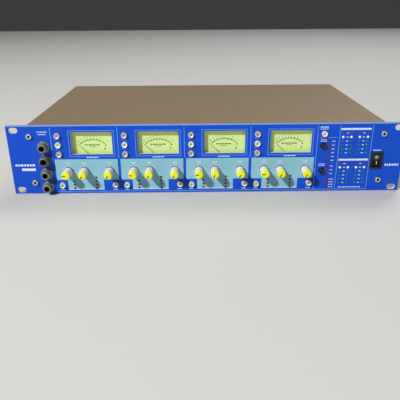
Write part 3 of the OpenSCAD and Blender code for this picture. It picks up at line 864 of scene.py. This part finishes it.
pale, lines, white, arcs = [], [], [], []
right = edges[3] + pitch
for k in channels:
    e = edges[k]
    pale += [area(e + 0.9, e + 78.2, -25.6, 1.4), area(e + 14.4, e + 59.2, -38.9, -25.6)]
    lines += [area(e - 1.1, e - 0.4, 2.2, 41.0)]
    lines += outline(e + 20.4, e + 75.7, 4.7, 37.6, 0.6)
    white += caption(e + 47.8, 3.6, 14, 1.2, 6) + [area(e + 14.4, e + 59.2, -38.5, -37.7)]
    for x, z in [(7.5, 26.3), (7.5, 14.6), (7.5, 3.0)]:
        lines += caption(e + x, z, 7.0, 0.9, 4)
    for x in (7.5, 73.2):
        white += caption(e + x, -38.7, 5.6, 1.0, 4)
    for kind in knobKinds:
        x, z = centreOf(f"ch{k + 1}_{kind}")
        white += caption(x, z + 11.2, 5.6, 0.8, 3) + caption(x, z + 9.4, 4.4, 0.7, 3)
        arcs.append(band(x, z, 6.75, 0.5, -150, 150, panelFace - 0.05, panelFace))
        for turn in np.linspace(-150, 150, 11):
            t = math.radians(turn)
            white.append((x + 7.9 * math.sin(t), z + 7.9 * math.cos(t), 0.4, 0.9, turn))
inked("printing_pale_fields", boxes(pale, panelFace - inkLook["paleBack"], panelFace + 0.005), paleInk)

lines += [area(right - 0.8, right - 0.1, -40.8, 41.0), area(right + 26.1, right + 26.8, -40.8, 41.0),
          area(right + 65.6, right + 66.3, -40.8, 41.0), area(right + 2.7, right + 24.4, 25.9, 26.5),
          area(edges[0] - 1.1, right + 66.3, -41.5, -40.8)]
white += caption(right + 7, 39.2, 9.5, 1.4, 4) + [area(right + 2, right + 12, 36.4, 37.1)]
for z in (23.6, 21.5, -7.6, -9.5):
    white += caption(right + 7.4, z, 7.4, 0.9, 4)
for x, z in centresIn("indicator_leds"):
    if right < x < right + 20:
        wide = 5.6 if z < -25 else 3.4
        white += caption(x + 2.6 + wide / 2, z, wide, 1.0, 3)
white += [area(right + 27.3, right + 63.8, 35.3, 37.7), area(right + 27.9, right + 64.3, -3.5, -1.1)]
white += [(right + x, z, 2.6, 0.9) for z in bars for x in (35.8, 55.6)]
white += caption(right + 45, -38.4, 28, 1.2, 9)
rockerX, rockerZ = centreOf("power_switch_body")
white += caption(rockerX, rockerZ + 12.5, 9.6, 1.3, 4)
jackX = jackSpots[0][0]
white += caption(jackX, 36, 12, 1.1, 5) + caption(jackX, 33, 9, 1.1, 4)
white += [area(-228.8, -211.7, -13.2, -9.9)] + caption(-224, -5.9, 24, 2.6, 7)
white += caption(right + 94.4, -9.3, 17, 2.6, 6)
inked("printing_lines", boxes(lines, panelFace - inkLook["lineBack"], panelFace + 0.005), lineInk)
labels = boxes(white, panelFace - inkLook["labelBack"], panelFace + 0.005)
inked("printing_white", joined(labels, *arcs), whiteInk)
print("panel printed")


# Floor, light and camera

stageLook = {"floor": screen(206, 206, 204), "wide": 6.0}
half = stageLook["wide"] / 2
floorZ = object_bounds()[0][2]
floorMesh = bpy.data.meshes.new("floor")
floorCorners = [(a * half, b * half, floorZ) for a, b in ((-1, -1), (1, -1), (1, 1), (-1, 1))]
floorMesh.from_pydata(floorCorners, [], [(0, 1, 2, 3)])
floorMesh.materials.append(Finish("floor_paint", baseColor=stageLook["floor"], roughness=0.8).material)
floor = bpy.data.objects.new("floor", floorMesh)
bpy.context.scene.collection.objects.link(floor)

# each lamp: name, direction, distance, width, watts, colour
lights = [
    ("key", (-0.82, -1.0, 1.06), 4.0, 0.26, 172, (1.0, 0.98, 0.95)),
    ("top", (0.1, 0.5, 1.6), 2.4, 1.6, 9, (1.0, 0.95, 0.88)),
    ("back", (0.7, 1.0, 1.3), 3.2, 1.2, 30, (0.96, 0.98, 1.0)),
]
for name, way, distance, width, watts, colour in lights:
    lamp = bpy.data.lights.new(name, "AREA")
    lamp.shape, lamp.size, lamp.energy, lamp.color = "DISK", width, watts, colour
    holder = bpy.data.objects.new(name, lamp)
    way = Vector(way).normalized()
    facing = way.to_track_quat("Z", "Y").to_matrix().to_4x4()
    holder.matrix_world = Matrix.Translation(way * distance) @ facing
    bpy.context.scene.collection.objects.link(holder)
world = bpy.data.worlds.new("studio")
world.use_nodes = True
world.node_tree.nodes["Background"].inputs[0].default_value = (0.62, 0.64, 0.66, 1)
world.node_tree.nodes["Background"].inputs[1].default_value = 0.07
bpy.context.scene.world = world

cameraLook = {"lens": 43.58, "place": (-12.64, -571.3, 187.4), "yaw": 0.0068, "pitch": 0.4025, "roll": -0.007}
yaw, pitch, roll = (cameraLook[key] for key in ("yaw", "pitch", "roll"))
forward = Vector((math.sin(yaw) * math.cos(pitch), math.cos(yaw) * math.cos(pitch), -math.sin(pitch)))
level = Vector((math.cos(yaw), -math.sin(yaw), 0))
upright = level.cross(forward)
side = level * math.cos(roll) + upright * math.sin(roll)
upward = upright * math.cos(roll) - level * math.sin(roll)
turnTo = Matrix((side, upward, -forward)).transposed().to_4x4()
lens = bpy.data.cameras.new("camera")
lens.lens, lens.sensor_width, lens.clip_start = cameraLook["lens"], 36, 0.01
camera = bpy.data.objects.new("camera", lens)
camera.matrix_world = Matrix.Translation(Vector(cameraLook["place"]) * mm) @ turnTo
bpy.context.scene.collection.objects.link(camera)
bpy.context.scene.camera = camera
bpy.context.scene.view_settings.view_transform = "Standard"
print("stage set")
